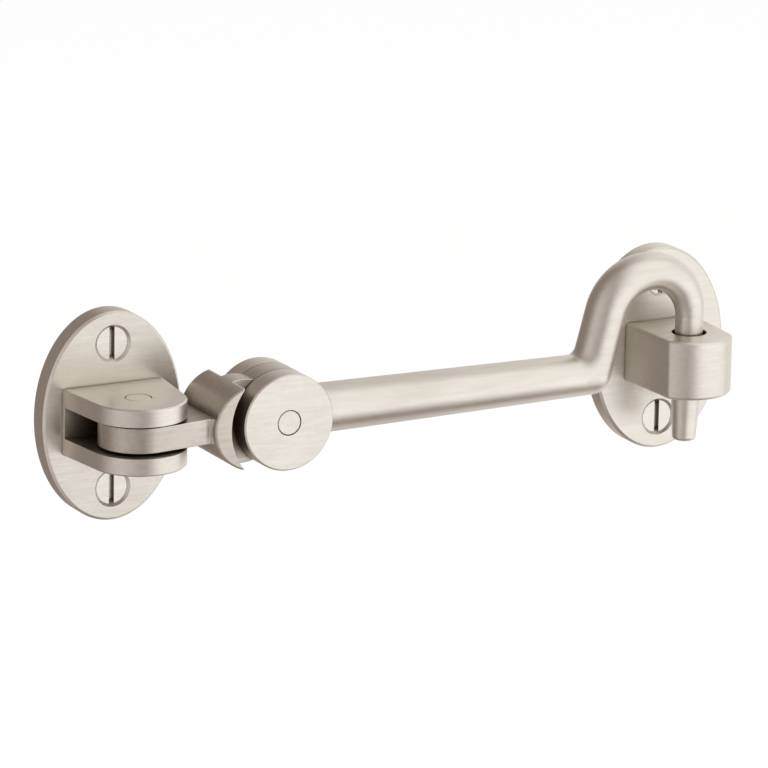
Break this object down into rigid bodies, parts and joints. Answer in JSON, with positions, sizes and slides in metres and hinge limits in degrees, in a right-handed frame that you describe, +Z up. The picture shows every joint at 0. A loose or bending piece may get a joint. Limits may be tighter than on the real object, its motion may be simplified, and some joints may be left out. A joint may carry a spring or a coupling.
{
  "type": "cabin hook",
  "caption": "Cabin hook of brushed nickel-plated brass: a swivelling bar with an upturned hook, an oval pivot plate with ears, and an oval keeper plate with a bored block.",
  "frame": {"origin": "middle of the pivot plate's back face, on the wall, midway between its screws", "axes": "+X along the bar from the pivot to the keeper, +Y into the wall, +Z up"},
  "size_m": [0.1614, 0.0385, 0.0472],
  "materials": {
    "pivot_plate": "brushed nickel plate",
    "pivot_pin": "brushed nickel plate",
    "pivot_screws": "brushed nickel plate",
    "swivel": "brushed nickel plate",
    "hook_bar": "brushed nickel plate",
    "hook_pin": "brushed nickel plate",
    "keeper_plate": "brushed nickel plate",
    "keeper_screws": "brushed nickel plate"
  },
  "bodies": {
    "base": {"pivot_plate": "pivot_plate", "pivot_pin": "pivot_pin", "pivot_screws": "pivot_screws"},
    "swivel": {"swivel": "swivel"},
    "hook": {"hook_bar": "hook_bar", "hook_pin": "hook_pin"},
    "keeper": {"keeper_plate": "keeper_plate", "keeper_screws": "keeper_screws"}
  },
  "joints": [
    {"name": "swivel_turn", "type": "hinge", "parent": "base", "child": "swivel", "pos_m": [0, -0.0166, 0], "axis": [0, 0, -1], "range_deg": [0, 180]},
    {"name": "hook_lift", "type": "hinge", "parent": "swivel", "child": "hook", "pos_m": [0.0306, -0.0166, 0], "axis": [0, -1, 0], "range_deg": [0, 95]},
    {"name": "keeper_turn", "type": "hinge", "parent": "swivel", "child": "keeper", "pos_m": [0.13, -0.0166, 0], "axis": [0, 0, -1], "range_deg": [-20, 200]}
  ]
}
